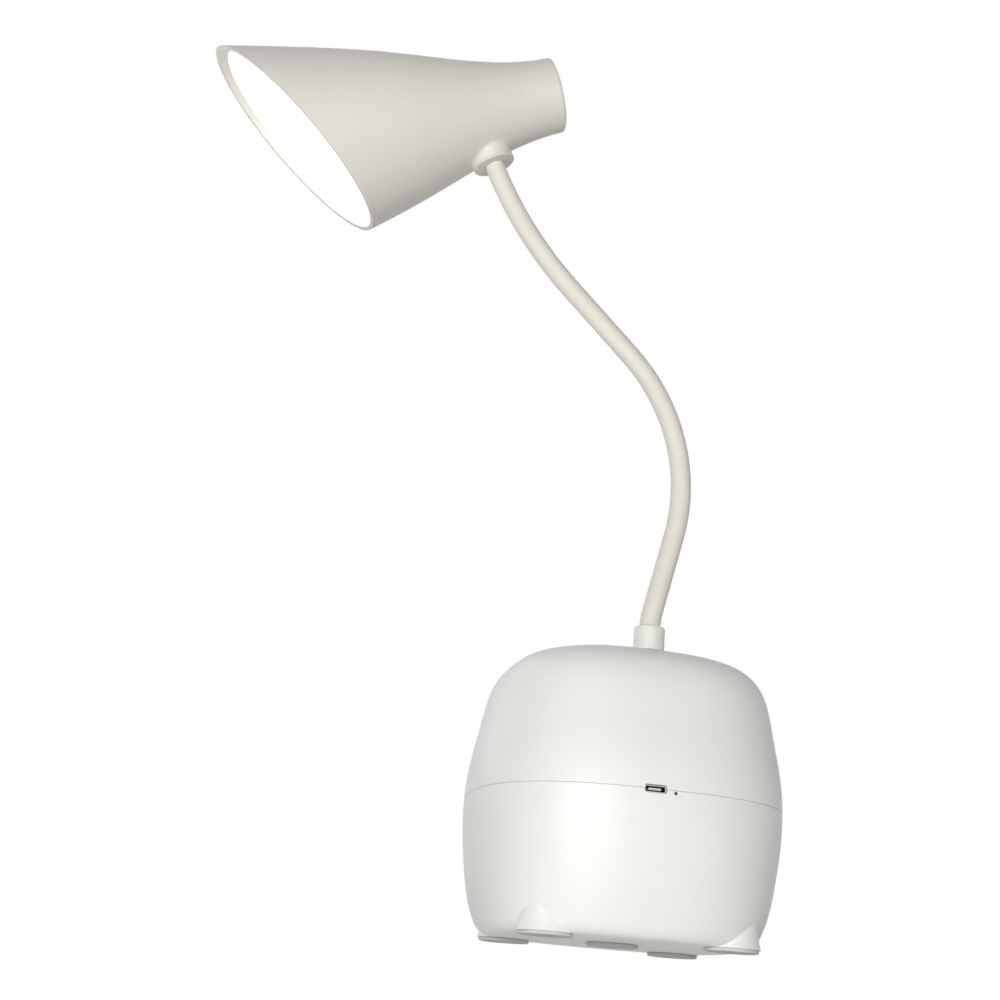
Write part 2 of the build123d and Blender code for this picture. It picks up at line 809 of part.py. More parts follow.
# the dome's section: distance in from the boss face, and radius
dome_plane = Plane(origin=(0, boss_face_y, button_z), x_dir=(0, -1, 0), z_dir=(-1, 0, 0))
dome_height = boss_face_y - flange_back_y
dome_foot = button_radius + button_flange - clearance
dome_top = dome_foot - dome_height * dome_slope
with BuildPart() as return_dome:
    with BuildSketch(dome_plane):
        with BuildLine():
            Polyline(
                (0, dome_foot - dome_wall), (0, dome_foot), (dome_height, dome_top),
                (dome_height, dome_top - dome_wall), close=True
            )
        make_face()
    revolve(axis=Axis((0, boss_face_y, button_z), (0, -1, 0)))
return_dome.part.label = "return_dome"
export_step(return_dome.part, "parts/return_dome.step")

# ---- Battery and its cradle on the deck ----

cell_z = deck_top_z + cradle_wall + slip + cell_radius
with BuildPart() as battery_cell:
    with BuildSketch(Plane(origin=(-cell_length / 2, cell_y, cell_z), x_dir=(0, 1, 0), z_dir=(1, 0, 0))):
        Circle(cell_radius)
    extrude(amount=cell_length)
    fillet(battery_cell.edges(), radius=cell_round)
battery_cell.part.label = "battery_cell"
export_step(battery_cell.part, "parts/battery_cell.step")

with BuildPart() as battery_cradle:
    with BuildSketch(Plane.XY.offset(deck_top_z)):
        with Locations((0, cell_y)):
            Rectangle(cell_length + 2 * (cradle_wall + clearance), 2 * (cell_radius + cradle_wall))
    extrude(amount=cradle_height)
    cradle_end = Plane(
        origin=(-cell_length / 2 - clearance, cell_y, cell_z), x_dir=(0, 1, 0), z_dir=(1, 0, 0)
    )
    with BuildSketch(cradle_end):
        Circle(cell_radius + slip)
    extrude(amount=cell_length + 2 * clearance, mode=Mode.SUBTRACT)
    with BuildSketch(cradle_end.offset(-cradle_wall)):
        Circle(cradle_notch_radius)
    extrude(amount=cell_length + 2 * (cradle_wall + clearance), mode=Mode.SUBTRACT)
battery_cradle.part.label = "battery_cradle"
export_step(battery_cradle.part, "parts/battery_cradle.step")

# ---- Control board with its plugs, charging socket and charge light ----

battery_plug_x = board_width / 2 - plug_width / 2
battery_plug_y = board_front_y + 2 * board_pillar_inset + plug_depth / 2
with BuildPart() as control_board:
    with BuildSketch(Plane.XY.offset(board_z)):
        with Locations((0, board_y)):
            Rectangle(board_width, board_depth)
            with GridLocations(pillar_spacing_x, pillar_spacing_y, 2, 2):
                Circle(small_screw_radius + slip, mode=Mode.SUBTRACT)
    extrude(amount=board_thickness)
    with BuildSketch(Plane.XY.offset(board_top_z)):
        with Locations((battery_plug_x, battery_plug_y), (0, neck_y), (0, board_front_y + plug_depth / 2)):
            Rectangle(plug_width, plug_depth)
    extrude(amount=plug_height)
    with BuildSketch(Plane.XY.offset(board_top_z)):
        with Locations((-board_width / 4, board_y)):
            Rectangle(plug_width, plug_width)
    extrude(amount=plug_height / 3)
control_board.part.label = "control_board"
export_step(control_board.part, "parts/control_board.step")

pillar_places = [
    (x * pillar_spacing_x / 2, board_y + y * pillar_spacing_y / 2) for x in (-1, 1) for y in (-1, 1)
]
with BuildPart() as board_screws:
    board_grip = board_top_z - deck_z - clearance
    add(small_screws(Plane.XY.offset(board_top_z), pillar_places, board_grip))
board_screws.part.label = "board_screws"
export_step(board_screws.part, "parts/board_screws.step")

socket_face_y = barrel_half(seam_height, 0) - socket_recess
with BuildPart() as usb_socket:
    with BuildSketch(Plane.XZ.offset(-socket_face_y)):
        with Locations((port_x, seam_z)):
            RectangleRounded(socket_width, socket_height, port_corner - slip)
    extrude(amount=socket_depth)
    with BuildSketch(Plane.XZ.offset(-socket_face_y)):
        with Locations((port_x, seam_z)):
            RectangleRounded(
                socket_width - 2 * socket_shell,
                socket_height - 2 * socket_shell,
                port_corner - socket_shell,
            )
            Rectangle(socket_tongue_width, socket_tongue_thickness, mode=Mode.SUBTRACT)
    extrude(amount=socket_cavity, mode=Mode.SUBTRACT)
usb_socket.part.label = "usb_socket"
export_step(usb_socket.part, "parts/usb_socket.step")

light_z = seam_z - light_drop
light_face_y = barrel_half(light_z - housing_bottom, 0) - clearance
with BuildPart() as charge_light:
    with BuildSketch(Plane.XZ.offset(-light_face_y)):
        with Locations((light_x, light_z)):
            Circle(light_radius)
    extrude(amount=light_face_y - board_rear_y)
    with BuildSketch(Plane.XZ.offset(-board_rear_y)):
        with Locations((light_x, board_top_z + light_radius)):
            Rectangle(3 * light_radius, 2 * light_radius)
    extrude(amount=3 * light_radius)
charge_light.part.label = "charge_light"
export_step(charge_light.part, "parts/charge_light.step")

# ---- Neck path ----

bend_start_z = collar_top_z - mouth_ease
with BuildLine(Plane(origin=(0, neck_y, 0), x_dir=(1, 0, 0), z_dir=(0, -1, 0))) as neck_path:
    foot_run = Line((0, neck_foot_z), (0, bend_start_z))
    turn_1 = JernArc(foot_run @ 1, foot_run % 1, first_turn_radius, first_turn)
    run_1 = Line(turn_1 @ 1, turn_1 @ 1 + first_run * (turn_1 % 1))
    turn_2 = JernArc(run_1 @ 1, run_1 % 1, second_turn_radius, -second_turn)
    run_2 = Line(turn_2 @ 1, turn_2 @ 1 + second_run * (turn_2 % 1))
    turn_3 = JernArc(run_2 @ 1, run_2 % 1, third_turn_radius, third_turn)
    head_run_length = neck_tail + ferrule_thickness + boss_height + nut_thickness + shank_end
    head_run = Line(turn_3 @ 1, turn_3 @ 1 + head_run_length * (turn_3 % 1))
neck_wire = neck_path.wires()[0]
neck_length = neck_wire.length
collar_station = collar_top_z - neck_foot_z
ferrule_station = neck_length - head_run_length + neck_tail


def neck_plane(station):
    """The plane across the neck at a distance along it from its foot."""
    return Plane(
        origin=neck_wire.position_at(station, position_mode=PositionMode.LENGTH),
        z_dir=neck_wire.tangent_at(station, position_mode=PositionMode.LENGTH),
    )


def neck_stretch(outer, bore, start, end):
    """A tube along the neck between two distances from its foot."""
    with BuildPart() as stretch:
        with BuildSketch(neck_plane(0)):
            Circle(outer)
            Circle(bore, mode=Mode.SUBTRACT)
        sweep(path=neck_wire)
        if start > 0:
            split(bisect_by=neck_plane(start), keep=Keep.TOP)
        if end < neck_length:
            split(bisect_by=neck_plane(end), keep=Keep.BOTTOM)
    return stretch.part


# ---- Gooseneck: steel core links in a silicone sleeve, hinged at the stations ----

hinges = [collar_station + station for station in hinge_stations]
sleeve_start = collar_station - sleeve_seat_depth
sleeve_end = ferrule_station + ferrule_seat_depth
sleeve_bore = core_radius + slip
core_starts = [0] + [h + core_gap / 2 for h in hinges]
core_ends = [h - core_gap / 2 for h in hinges] + [neck_length]
sleeve_starts = [sleeve_start] + [h + flex_half for h in hinges]
sleeve_ends = [h - flex_half for h in hinges] + [sleeve_end]

for k in range(len(hinges) + 1):
    core_link = neck_stretch(core_radius, core_bore, core_starts[k], core_ends[k])
    core_link.label = f"neck_core_{k + 1}"
    export_step(core_link, f"parts/neck_core_{k + 1}.step")
    sleeve_link = neck_stretch(sleeve_radius, sleeve_bore, sleeve_starts[k], sleeve_ends[k])
    sleeve_link.label = f"neck_sleeve_{k + 1}"
    export_step(sleeve_link, f"parts/neck_sleeve_{k + 1}.step")

for k, hinge in enumerate(hinges):
    flex_link = neck_stretch(sleeve_radius, sleeve_bore, hinge - flex_half, hinge + flex_half)
    flex_link.label = f"neck_flex_{k + 1}"
    export_step(flex_link, f"parts/neck_flex_{k + 1}.step")
    place = neck_plane(hinge)
    print("hinge", k + 1, [round(v / 1000, 5) for v in place.origin], [round(v, 4) for v in place.z_dir])

# ---- Neck collar on the crown and its nut inside ----

with BuildPart() as neck_collar:
    with BuildSketch(Plane(origin=(0, neck_y, 0), x_dir=(1, 0, 0), z_dir=(0, -1, 0))):
        with BuildLine():
            Polyline(
                (sleeve_radius + 2 * slip, collar_top_z),
                (collar_radius, collar_top_z),
                (collar_radius, collar_seat_z),
                (shank_radius, collar_seat_z),
                (shank_radius, neck_foot_z - shank_end),
                (core_radius + slip, neck_foot_z - shank_end),
                (core_radius + slip, collar_top_z - sleeve_seat_depth),
                (sleeve_radius + slip, collar_top_z - sleeve_seat_depth),
                (sleeve_radius + slip, collar_top_z - collar_ease),
                close=True,
            )
        make_face()
    revolve(axis=Axis((0, neck_y, 0), (0, 0, 1)))
    fillet(neck_collar.edges().group_by(Axis.Z)[-1].sort_by(SortBy.RADIUS)[-1], radius=collar_round)
neck_collar.part.label = "neck_collar"
export_step(neck_collar.part, "parts/neck_collar.step")


def hex_nut(plane):
    """A nut for the neck's threaded shanks, standing on a plane."""
    with BuildPart() as nut:
        with BuildSketch(plane):
            RegularPolygon(nut_radius, 6)
            Circle(shank_radius + thread_fit, mode=Mode.SUBTRACT)
        extrude(amount=nut_thickness)
    return nut.part


with BuildPart() as collar_nut:
    add(hex_nut(Plane(origin=(0, neck_y, neck_foot_z), z_dir=(0, 0, 1))))
collar_nut.part.label = "collar_nut"
export_step(collar_nut.part, "parts/collar_nut.step")

# ---- Head frame: the horn's axis, its upward direction and the plane of its mouth ----

ferrule_plane = neck_plane(ferrule_station)
boss_foot = ferrule_plane.offset(ferrule_thickness)
turn = math.radians(head_turn)
droop = math.radians(head_droop)
roll = math.radians(head_roll)
rake = math.radians(mouth_rake)
horn_axis = Vector(math.cos(turn) * math.cos(droop), -math.sin(turn) * math.cos(droop), -math.sin(droop))
horn_side = Vector(0, 0, 1).cross(horn_axis).normalized()
horn_up = horn_axis.cross(horn_side) * math.cos(roll) + horn_side * math.sin(roll)
mouth_normal = horn_axis * math.cos(rake) - horn_up * math.sin(rake)
head_origin = ferrule_plane.origin + Vector(*head_offset)
axis_of_head = Axis(head_origin, horn_axis)
rear_plane = Plane(origin=head_origin, z_dir=horn_axis)
profile_plane = Plane(origin=head_origin, x_dir=horn_axis, z_dir=horn_axis.cross(horn_up))
mouth_plane = Plane(origin=head_origin + horn_axis * mouth_distance, x_dir=horn_side, z_dir=mouth_normal)


def horn_form(inset):
    """The solid horn, moved in by inset."""
    with BuildPart() as form:
        with BuildSketch(profile_plane):
            with BuildLine():
                flare = Spline(*[(distance, radius - inset) for distance, radius in horn_outline])
                Polyline(flare @ 1, (horn_length, 0), (0, 0), flare @ 0)
            make_face()
        revolve(axis=axis_of_head)
    return form.part


def horn_slice(form, near, far):
    """The stretch of a horn form between two distances behind the mouth."""
    with BuildPart() as piece:
        add(form)
        split(bisect_by=mouth_plane.offset(-near), keep=Keep.BOTTOM)
        split(bisect_by=mouth_plane.offset(-far), keep=Keep.TOP)
    return piece.part


# ---- Shade, with the round boss that the neck screws into ----

# the boss swells a little from the ferrule into the shade
with BuildPart() as neck_boss:
    with BuildSketch(Plane(origin=boss_foot.origin, x_dir=boss_foot.x_dir, z_dir=-boss_foot.y_dir)):
        with BuildLine():
            flank = ThreePointArc(
                (boss_radius, 0),
                (boss_radius + boss_swell * boss_flare, boss_height / 2),
                (boss_radius + boss_flare, boss_height),
            )
            Polyline(flank @ 1, (0, boss_height), (0, 0), flank @ 0)
        make_face()
    revolve(axis=Axis(boss_foot.origin, boss_foot.z_dir))

with BuildPart() as shade:
    add(horn_form(0))
    fillet(shade.edges().sort_by(axis_of_head)[0], radius=rear_round)
    add(horn_form(horn_wall), mode=Mode.SUBTRACT)
    split(bisect_by=mouth_plane, keep=Keep.BOTTOM)
    add(neck_boss.part)
    seams = shade.edges().filter_by(GeomType.BSPLINE)
    fillet(seams.sort_by_distance(boss_foot.origin)[0], radius=boss_blend)
    with BuildSketch(boss_foot):
        Circle(shank_radius + thread_fit)
    extrude(amount=boss_height, mode=Mode.SUBTRACT)
shade.part.label = "shade"
export_step(shade.part, "parts/shade.step")

cap_bore = horn_outline[0][1] - horn_wall
with BuildPart() as rear_cap:
    with BuildSketch(rear_plane.offset(cap_recess)):
        Circle(cap_bore - slip)
    extrude(amount=cap_thickness)
    with BuildSketch(rear_plane.offset(cap_recess + cap_thickness)):
        Circle(cap_bore - slip)
        Circle(cap_bore - slip - cap_plug_wall, mode=Mode.SUBTRACT)
    extrude(amount=cap_plug_depth)
rear_cap.part.label = "rear_cap"
export_step(rear_cap.part, "parts/rear_cap.step")

# ---- Ferrule where the neck meets the head, and its nut ----

with BuildPart() as head_ferrule:
    with BuildSketch(ferrule_plane):
        Circle(ferrule_radius)
    extrude(amount=ferrule_thickness)
    fillet(head_ferrule.edges(), radius=ferrule_round)
    with BuildSketch(boss_foot):
        Circle(shank_radius)
    extrude(amount=boss_height + nut_thickness + shank_end)
    with BuildSketch(ferrule_plane):
        Circle(core_radius + slip)
    extrude(amount=ferrule_thickness + boss_height + nut_thickness + shank_end, mode=Mode.SUBTRACT)
    with BuildSketch(ferrule_plane):
        Circle(sleeve_radius + slip)
    extrude(amount=ferrule_seat_depth, mode=Mode.SUBTRACT)
head_ferrule.part.label = "head_ferrule"
export_step(head_ferrule.part, "parts/head_ferrule.step")

with BuildPart() as ferrule_nut:
    add(hex_nut(boss_foot.offset(boss_height)))
ferrule_nut.part.label = "ferrule_nut"
export_step(ferrule_nut.part, "parts/ferrule_nut.step")

# ---- Light unit: diffuser, liner, lamp board, chips, heat spreader ----

board_front = lamp_board_setback
board_back = lamp_board_setback + lamp_board_thickness
spreader_back = board_back + spreader_thickness
lamp_form = horn_form(horn_wall + slip)
chip_plane = mouth_plane.offset(-board_front)

with BuildPart() as diffuser:
    add(horn_slice(lamp_form, diffuser_recess, diffuser_recess + diffuser_thickness))
diffuser.part.label = "diffuser"
export_step(diffuser.part, "parts/diffuser.step")

with BuildPart() as reflector_liner:
    add(horn_slice(lamp_form, diffuser_recess + diffuser_thickness, board_front))
    add(
        horn_slice(horn_form(horn_wall + slip + liner_wall), diffuser_recess, board_front - liner_flange),
        mode=Mode.SUBTRACT,
    )
    with BuildSketch(chip_plane):
        Circle(liner_window)
    extrude(amount=lamp_board_setback, mode=Mode.SUBTRACT)
    with BuildSketch(chip_plane):
        with PolarLocations(lamp_screw_ring, lamp_screw_count, lamp_screw_angle):
            Circle(small_screw_radius)
    extrude(amount=lamp_board_setback, mode=Mode.SUBTRACT)
reflector_liner.part.label = "reflector_liner"
export_step(reflector_liner.part, "parts/reflector_liner.step")

with BuildPart() as lamp_board:
    add(horn_slice(horn_form(horn_wall + lamp_board_inset), board_front, board_back))
    with BuildSketch(chip_plane):
        with PolarLocations(lamp_screw_ring, lamp_screw_count, lamp_screw_angle):
            Circle(small_screw_radius + slip)
    extrude(amount=-lamp_board_thickness, mode=Mode.SUBTRACT)
lamp_board.part.label = "lamp_board"
export_step(lamp_board.part, "parts/lamp_board.step")

with BuildPart() as led_chips:
    with BuildSketch(chip_plane):
        with PolarLocations(chip_ring, chip_count):
            Rectangle(chip_size, chip_size)
    extrude(amount=chip_height)
led_chips.part.label = "led_chips"
export_step(led_chips.part, "parts/led_chips.step")

with BuildPart() as heat_spreader:
    add(horn_slice(horn_form(horn_wall + spreader_inset), board_back, spreader_back))
    with BuildSketch(chip_plane):
        with PolarLocations(lamp_screw_ring, lamp_screw_count, lamp_screw_angle):
            Circle(small_screw_radius + slip)
        Circle(lead_radius + clearance)
    extrude(amount=-spreader_back, mode=Mode.SUBTRACT)
heat_spreader.part.label = "heat_spreader"
export_step(heat_spreader.part, "parts/heat_spreader.step")

with BuildPart() as lamp_screws:
    lamp_screw_plane = Plane(
        origin=mouth_plane.offset(-spreader_back).origin, x_dir=horn_side, z_dir=-mouth_normal
    )
    lamp_screw_places = [
        (
            lamp_screw_ring * math.cos(math.radians(lamp_screw_angle + 360 * k / lamp_screw_count)),
            -lamp_screw_ring * math.sin(math.radians(lamp_screw_angle + 360 * k / lamp_screw_count)),
        )
        for k in range(lamp_screw_count)
    ]
    lamp_grip = spreader_back - board_front + liner_flange
    add(small_screws(lamp_screw_plane, lamp_screw_places, lamp_grip))
lamp_screws.part.label = "lamp_screws"
export_step(lamp_screws.part, "parts/lamp_screws.step")

# ---- Leads inside the base and the head ----


def lead(*points):
    """A round lead through points, with bends as large as its runs allow."""
    corners = [Vector(*point) for point in points]
    runs = [(b - a).length for a, b in zip(corners, corners[1:])]
    radii = []
    for before, after, a, b, c in zip(runs, runs[1:], corners, corners[1:], corners[2:]):
        bend = math.radians((b - a).get_angle(c - b))
        radii.append(0.45 * min(before, after) / math.tan(bend / 2))
    with BuildPart() as wire:
        with BuildLine() as route:
            FilletPolyline(*corners, radius=radii)
        with BuildSketch(Plane(origin=route.line @ 0, z_dir=route.line % 0)):
            Circle(lead_radius)
        sweep()
    return wire.part


plug_top_z = board_top_z + plug_height
plug_mid_z = board_top_z + plug_height / 2
cradle_end_x = cell_length / 2 + clearance + cradle_wall

battery_lead = lead(
    (cradle_end_x, cell_y, cell_z),
    (cradle_end_x + lead_run, cell_y, cell_z),
    (bay_half, 0, cell_z - lead_sag),
    (board_width / 2 + lead_run, battery_plug_y, plug_mid_z),
    (board_width / 2, battery_plug_y, plug_mid_z),
)
battery_lead.label = "battery_lead"
export_step(battery_lead, "parts/battery_lead.step")

switch_back_y = boss_face_y + switch_board_thickness
button_lead = lead(
    (0, switch_back_y, button_z),
    (0, switch_back_y + 1.5 * lead_run, button_z),
    (lead_sag, cell_y + lead_run, cell_z + cell_radius + lead_run),
    (0, board_front_y - 1.5 * lead_run, cell_z + 2 * lead_sag),
    (0, board_front_y - lead_run, plug_mid_z),
    (0, board_front_y, plug_mid_z),
)
button_lead.label = "button_lead"
export_step(button_lead, "parts/button_lead.step")

neck_lead = lead(
    (0, neck_y, neck_foot_z - shank_end),
    (0, neck_y, neck_foot_z - 1.5 * lead_run),
    (2 * lead_sag, neck_y, (neck_foot_z + plug_top_z) / 2),
    (0, neck_y, plug_top_z + lead_run),
    (0, neck_y, plug_top_z),
)
neck_lead.label = "neck_lead"
export_step(neck_lead, "parts/neck_lead.step")

lead_out = ferrule_plane.offset(ferrule_thickness + boss_height + nut_thickness + shank_end)
lead_end = mouth_plane.offset(-board_back).origin
head_lead = lead(
    lead_out.origin,
    lead_out.offset(lead_run / 2).origin,
    lead_end - mouth_normal * 2 * lead_run,
    lead_end,
)
head_lead.label = "head_lead"
export_step(head_lead, "parts/head_lead.step")
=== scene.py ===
import bpy
import json
import math
from mathutils import Matrix, Vector


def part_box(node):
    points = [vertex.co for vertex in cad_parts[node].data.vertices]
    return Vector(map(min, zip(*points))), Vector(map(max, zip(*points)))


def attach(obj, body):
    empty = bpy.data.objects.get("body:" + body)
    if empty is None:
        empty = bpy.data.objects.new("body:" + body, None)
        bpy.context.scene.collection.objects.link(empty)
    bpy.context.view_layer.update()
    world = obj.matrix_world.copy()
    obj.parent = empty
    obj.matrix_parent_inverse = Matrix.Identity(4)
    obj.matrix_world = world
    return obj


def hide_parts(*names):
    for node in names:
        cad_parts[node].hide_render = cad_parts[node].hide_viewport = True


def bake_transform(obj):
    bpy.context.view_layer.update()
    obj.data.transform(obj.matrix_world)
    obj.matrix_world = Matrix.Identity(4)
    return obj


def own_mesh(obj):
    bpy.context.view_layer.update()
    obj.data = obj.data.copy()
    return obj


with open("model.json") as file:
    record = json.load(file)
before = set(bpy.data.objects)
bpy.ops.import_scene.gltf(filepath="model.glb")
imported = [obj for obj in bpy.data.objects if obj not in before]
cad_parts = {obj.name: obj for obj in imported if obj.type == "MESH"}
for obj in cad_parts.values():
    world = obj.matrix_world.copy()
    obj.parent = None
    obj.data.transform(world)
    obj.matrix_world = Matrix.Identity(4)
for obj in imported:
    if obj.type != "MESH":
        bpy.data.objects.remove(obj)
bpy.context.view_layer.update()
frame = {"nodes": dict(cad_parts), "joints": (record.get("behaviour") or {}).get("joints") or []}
nodes = frame["nodes"]
print("frame loaded:", len(nodes), "nodes")

mm = 0.001


# Small tools

def linearColour(hexText):
    channels = [int(hexText[k:k + 2], 16) / 255 for k in (0, 2, 4)]
    linear = [c / 12.92 if c <= 0.04045 else ((c + 0.055) / 1.055) ** 2.4 for c in channels]
    return (*linear, 1.0)


def addNode(tree, kind, settings=None, inputs=None):
    # settings are the node's own fields, inputs are values or sockets to link from
    node = tree.nodes.new(kind)
    for name, value in (settings or {}).items():
        setattr(node, name, value)
    for name, value in (inputs or {}).items():
        if isinstance(value, bpy.types.NodeSocket):
            tree.links.new(value, node.inputs[name])
        else:
            node.inputs[name].default_value = value
    return node


def newMaterial(name):
    material = bpy.data.materials.new(name)
    material.use_nodes = True
    tree = material.node_tree
    shader = tree.nodes["Principled BSDF"]
    place = addNode(tree, "ShaderNodeTexCoord")
    return material, tree, shader, place.outputs["Object"]


def deselectAll():
    for thing in bpy.context.selected_objects:
        thing.select_set(False)


def makeActive(piece):
    deselectAll()
    piece.select_set(True)
    bpy.context.view_layer.objects.active = piece


def nameIt(name):
    piece = bpy.context.object
    piece.name = name
    piece.data.name = name
    return piece


def applyPlace(piece):
    makeActive(piece)
    bpy.ops.object.transform_apply(location=True, rotation=True, scale=True)


def addModifier(piece, kind, **settings):
    makeActive(piece)
    modifier = piece.modifiers.new(kind.title(), kind)
    for name, value in settings.items():
        setattr(modifier, name, value)
    bpy.ops.object.modifier_apply(modifier=modifier.name)


def smoothPiece(piece, angle=35):
    makeActive(piece)
    bpy.ops.object.shade_smooth_by_angle(angle=math.radians(angle))


def pickFaces(piece, test):
    # leaves edit mode on with only the faces that pass the test selected
    makeActive(piece)
    bpy.ops.object.mode_set(mode="EDIT")
    bpy.ops.mesh.select_mode(type="FACE")
    bpy.ops.mesh.select_all(action="DESELECT")
    bpy.ops.object.mode_set(mode="OBJECT")
    for face in piece.data.polygons:
        face.select = bool(test(face.center, face.normal))
    bpy.ops.object.mode_set(mode="EDIT")


def leaveEdit():
    bpy.ops.object.mode_set(mode="OBJECT")


def outwardNormals(piece):
    makeActive(piece)
    bpy.ops.object.mode_set(mode="EDIT")
    bpy.ops.mesh.select_all(action="SELECT")
    bpy.ops.mesh.remove_doubles(threshold=0.002 * mm)
    bpy.ops.mesh.normals_make_consistent(inside=False)
    bpy.ops.object.mode_set(mode="OBJECT")


def dress(piece, material):
    piece.data.materials.clear()
    piece.data.materials.append(material)


def joinPieces(pieces, name):
    makeActive(pieces[0])
    for piece in pieces[1:]:
        piece.select_set(True)
    if len(pieces) > 1:
        bpy.ops.object.join()
    return nameIt(name)


def copyPiece(piece, name):
    makeActive(piece)
    bpy.ops.object.duplicate(linked=False)
    return nameIt(name)


# Camera at the photograph's viewing angle, low behind the base and looking up past it
view = {
    "place": (0.1625, 0.5783, -0.0304),
    "right": (-0.9752, 0.2073, 0.0770),
    "up": (0.1371, 0.2931, 0.9462),
    "forward": (-0.1736, -0.9333, 0.3143),
    "lens": 57.03,
}
bpy.ops.object.camera_add()
camera = bpy.context.object
camera.name = "camera"
right, up, back = Vector(view["right"]), Vector(view["up"]), -Vector(view["forward"])
turnMatrix = Matrix((right, up, back)).transposed()
camera.matrix_world = Matrix.Translation(view["place"]) @ turnMatrix.to_4x4()
camera.data.lens = view["lens"]
camera.data.sensor_width = 36
camera.data.clip_start = 0.01
bpy.context.scene.camera = camera
bpy.context.scene.view_settings.view_transform = "Standard"
print("camera placed")


# Materials

def mouldedPlastic(name, hexText, roughness, grain, specks="E9E7E2", eased=0.35):
    # injection-moulded ABS with a fine spark-eroded skin: satin, with soft broken highlights
    # and edges eased by a radius in mm
    material, tree, shader, place = newMaterial(name)
    # slow drift in tone where the melt cooled, a hand's width across
    drift = addNode(tree, "ShaderNodeTexNoise", {}, {"Vector": place, "Scale": 18.0, "Detail": 3.0})
    tone = addNode(tree, "ShaderNodeValToRGB", {}, {"Fac": drift.outputs["Fac"]})
    colour = linearColour(hexText)
    tone.color_ramp.elements[0].position = 0.3
    tone.color_ramp.elements[0].color = (*[c * 0.965 for c in colour[:3]], 1)
    tone.color_ramp.elements[1].position = 0.7
    tone.color_ramp.elements[1].color = colour
    # faint dust and rub marks, about 3 mm apart
    dust = addNode(tree, "ShaderNodeTexNoise", {}, {"Vector": place, "Scale": 330.0, "Detail": 6.0})
    dustAmount = addNode(tree, "ShaderNodeMapRange", {}, {
        "Value": dust.outputs["Fac"], "From Min": 0.62, "From Max": 0.75, "To Min": 0.0, "To Max": 0.35,
    })
    mixed = addNode(tree, "ShaderNodeMix", {"data_type": "RGBA"}, {"Factor": dustAmount.outputs["Result"]})
    tree.links.new(tone.outputs["Color"], mixed.inputs["A"])
    mixed.inputs["B"].default_value = linearColour(specks)
    tree.links.new(mixed.outputs["Result"], shader.inputs["Base Color"])
    # handling leaves some patches a little shinier than others
    rubbed = addNode(tree, "ShaderNodeTexNoise", {}, {"Vector": place, "Scale": 42.0, "Detail": 4.0})
    gloss = addNode(tree, "ShaderNodeMapRange", {}, {
        "Value": rubbed.outputs["Fac"], "From Min": 0.3, "From Max": 0.7,
        "To Min": roughness - 0.05, "To Max": roughness + 0.06,
    })
    tree.links.new(gloss.outputs["Result"], shader.inputs["Roughness"])
    # spark-eroded grain, drawn at 0.5 mm so that it shows
    edge = addNode(tree, "ShaderNodeBevel", {"samples": 6}, {"Radius": eased * mm})
    spark = addNode(tree, "ShaderNodeTexNoise", {}, {"Vector": place, "Scale": 2000.0, "Detail": 2.0})
    bump = addNode(tree, "ShaderNodeBump", {}, {
        "Height": spark.outputs["Fac"], "Strength": grain, "Distance": 0.05 * mm,
        "Normal": edge.outputs["Normal"],
    })
    tree.links.new(bump.outputs["Normal"], shader.inputs["Normal"])
    shader.inputs["IOR"].default_value = 1.54  # ABS
    shader.inputs["Subsurface Weight"].default_value = 0.06
    shader.inputs["Subsurface Radius"].default_value = (1.2 * mm, 1.0 * mm, 0.8 * mm)
    return material


def siliconeRubber(name, hexText, roughness=0.62):
    # cast silicone: matt, slightly waxy, and it holds fine lint
    material, tree, shader, place = newMaterial(name)
    cloud = addNode(tree, "ShaderNodeTexNoise", {}, {"Vector": place, "Scale": 60.0, "Detail": 5.0})
    tone = addNode(tree, "ShaderNodeValToRGB", {}, {"Fac": cloud.outputs["Fac"]})
    colour = linearColour(hexText)
    tone.color_ramp.elements[0].position = 0.25
    tone.color_ramp.elements[0].color = (*[c * 0.95 for c in colour[:3]], 1)
    tone.color_ramp.elements[1].position = 0.75
    tone.color_ramp.elements[1].color = colour
    lint = addNode(tree, "ShaderNodeTexVoronoi", {"feature": "F1"}, {"Vector": place, "Scale": 420.0})
    lintAmount = addNode(tree, "ShaderNodeMapRange", {}, {
        "Value": lint.outputs["Distance"], "From Min": 0.05, "From Max": 0.08, "To Min": 0.05, "To Max": 0.0,
    })
    mixed = addNode(tree, "ShaderNodeMix", {"data_type": "RGBA"}, {"Factor": lintAmount.outputs["Result"]})
    tree.links.new(tone.outputs["Color"], mixed.inputs["A"])
    mixed.inputs["B"].default_value = linearColour("FBF9F4")
    tree.links.new(mixed.outputs["Result"], shader.inputs["Base Color"])
    skin = addNode(tree, "ShaderNodeTexNoise", {}, {"Vector": place, "Scale": 900.0, "Detail": 3.0})
    bump = addNode(tree, "ShaderNodeBump", {}, {
        "Height": skin.outputs["Fac"], "Strength": 0.15, "Distance": 0.06 * mm,
    })
    tree.links.new(bump.outputs["Normal"], shader.inputs["Normal"])
    shader.inputs["Roughness"].default_value = roughness
    shader.inputs["IOR"].default_value = 1.41  # silicone
    shader.inputs["Sheen Weight"].default_value = 0.12
    shader.inputs["Sheen Roughness"].default_value = 0.5
    shader.inputs["Subsurface Weight"].default_value = 0.12
    shader.inputs["Subsurface Radius"].default_value = (1.6 * mm, 1.3 * mm, 1.0 * mm)
    return material


